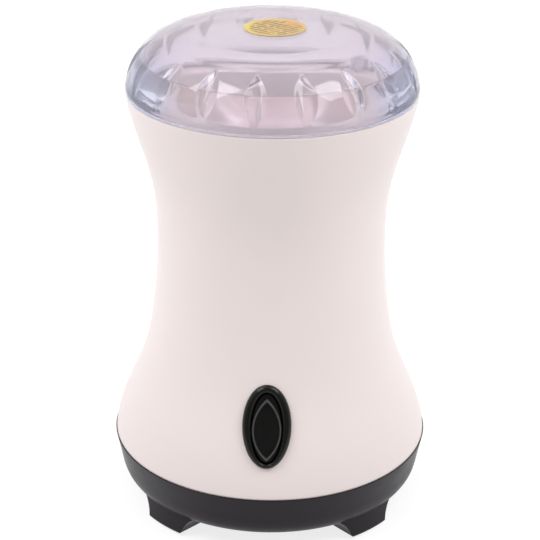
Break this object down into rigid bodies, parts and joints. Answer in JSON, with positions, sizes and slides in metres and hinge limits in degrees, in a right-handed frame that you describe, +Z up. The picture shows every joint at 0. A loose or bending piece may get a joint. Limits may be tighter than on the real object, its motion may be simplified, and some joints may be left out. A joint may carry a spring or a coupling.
{
  "type": "electric spice grinder",
  "caption": "Hand-size electric spice grinder: hourglass casing on a footed base, push button at the front, clear fluted lift-off lid over a steel bowl with a spinning blade.",
  "frame": {"origin": "middle of the footprint, on the table, on the motor's axis", "axes": "+Z up along the motor's axis, -Y towards the push button, +X to the right as seen from the front"},
  "size_m": [0.106, 0.106, 0.162],
  "materials": {
    "white_shell": "satin gloss, moulded",
    "charcoal_base": "satin, moulded",
    "black_trim": "gloss",
    "button_black": "satin",
    "clear_lid": "clear, violet-grey tint",
    "label_yellow": null,
    "stainless": "polished",
    "seat_plastic": "moulded",
    "rubber": "moulded",
    "zinc_steel": "zinc plated",
    "spring_steel": "drawn",
    "ground_steel": "ground",
    "lamination": "laminated, varnished",
    "copper_enamel": "enamelled copper wire",
    "copper": "turned",
    "bronze": "sintered",
    "brass": "pressed",
    "graphite": "pressed carbon",
    "grey_plastic": "moulded",
    "red_plastic": "moulded",
    "brown_plastic": "moulded",
    "fan_plastic": "moulded",
    "bracket_plastic": "glass filled"
  },
  "bodies": {
    "stand": {"base": "charcoal_base", "foot_pads": "rubber", "base_screws": "zinc_steel", "outer_casing": "white_shell", "cord_grommet": "rubber", "suppression_capacitor": "grey_plastic", "switch_bezel": "black_trim", "switch_carrier": "black_trim", "main_switch": "grey_plastic", "grinding_bowl": "stainless", "bowl_seat": "seat_plastic", "interlock_spring": "spring_steel", "interlock_switch": "grey_plastic", "stator_core": "lamination", "field_coils": "copper_enamel", "motor_damper": "rubber", "upper_bracket": "bracket_plastic", "upper_bearing": "bronze", "lower_bracket": "zinc_steel", "lower_bearing": "bronze", "motor_screws": "zinc_steel", "brush_holders": "brass", "carbon_brushes": "graphite", "brush_springs": "spring_steel"},
    "lid": {"lid": "clear_lid", "lid_label": "label_yellow"},
    "button": {"push_button": "button_black"},
    "lever": {"switch_lever": "spring_steel"},
    "plunger": {"switch_plunger": "red_plastic"},
    "pin": {"interlock_pin": "brown_plastic"},
    "lock_plunger": {"interlock_plunger": "red_plastic"},
    "rotor": {"motor_shaft": "ground_steel", "rotor_core": "lamination", "armature_winding": "copper_enamel", "commutator": "copper", "cooling_fan": "fan_plastic", "shaft_seal": "rubber", "blade": "stainless", "blade_nut": "ground_steel"}
  },
  "joints": [
    {"name": "lid_lift", "type": "slide", "parent": "stand", "child": "lid", "axis": [0, 0, 1], "range_m": [0, 0.06]},
    {"name": "button_press", "type": "slide", "parent": "stand", "child": "button", "axis": [0, 0.9265, -0.3762], "range_m": [0, 0.002], "stiffness_N_per_m": 600, "springref_m": -0.002},
    {"name": "lever_swing", "type": "hinge", "parent": "stand", "child": "lever", "pos_m": [0, -0.03635, 0.03113], "axis": [-1, 0, 0], "range_deg": [0, 13]},
    {"name": "plunger_press", "type": "slide", "parent": "stand", "child": "plunger", "axis": [0, 0.9265, -0.3762], "range_m": [0, 0.0012]},
    {"name": "pin_rise", "type": "slide", "parent": "stand", "child": "pin", "axis": [0, 0, 1], "range_m": [0, 0.002], "deforming": ["interlock_spring"]},
    {"name": "lock_plunger_rise", "type": "slide", "parent": "stand", "child": "lock_plunger", "axis": [0, 0, 1], "range_m": [0, 0.0006]},
    {"name": "rotor_spin", "type": "hinge", "parent": "stand", "child": "rotor", "pos_m": [0, 0, 0.07], "axis": [0, 0, 1], "continuous": true}
  ],
  "couplings": [
    {"joint": "lever_swing", "follows": "button_press", "rad_per_m": 111.1},
    {"joint": "plunger_press", "follows": "button_press", "ratio": 0.6},
    {"joint": "pin_rise", "follows": "lid_lift", "ratio": 0.0333},
    {"joint": "lock_plunger_rise", "follows": "lid_lift", "ratio": 0.01}
  ]
}
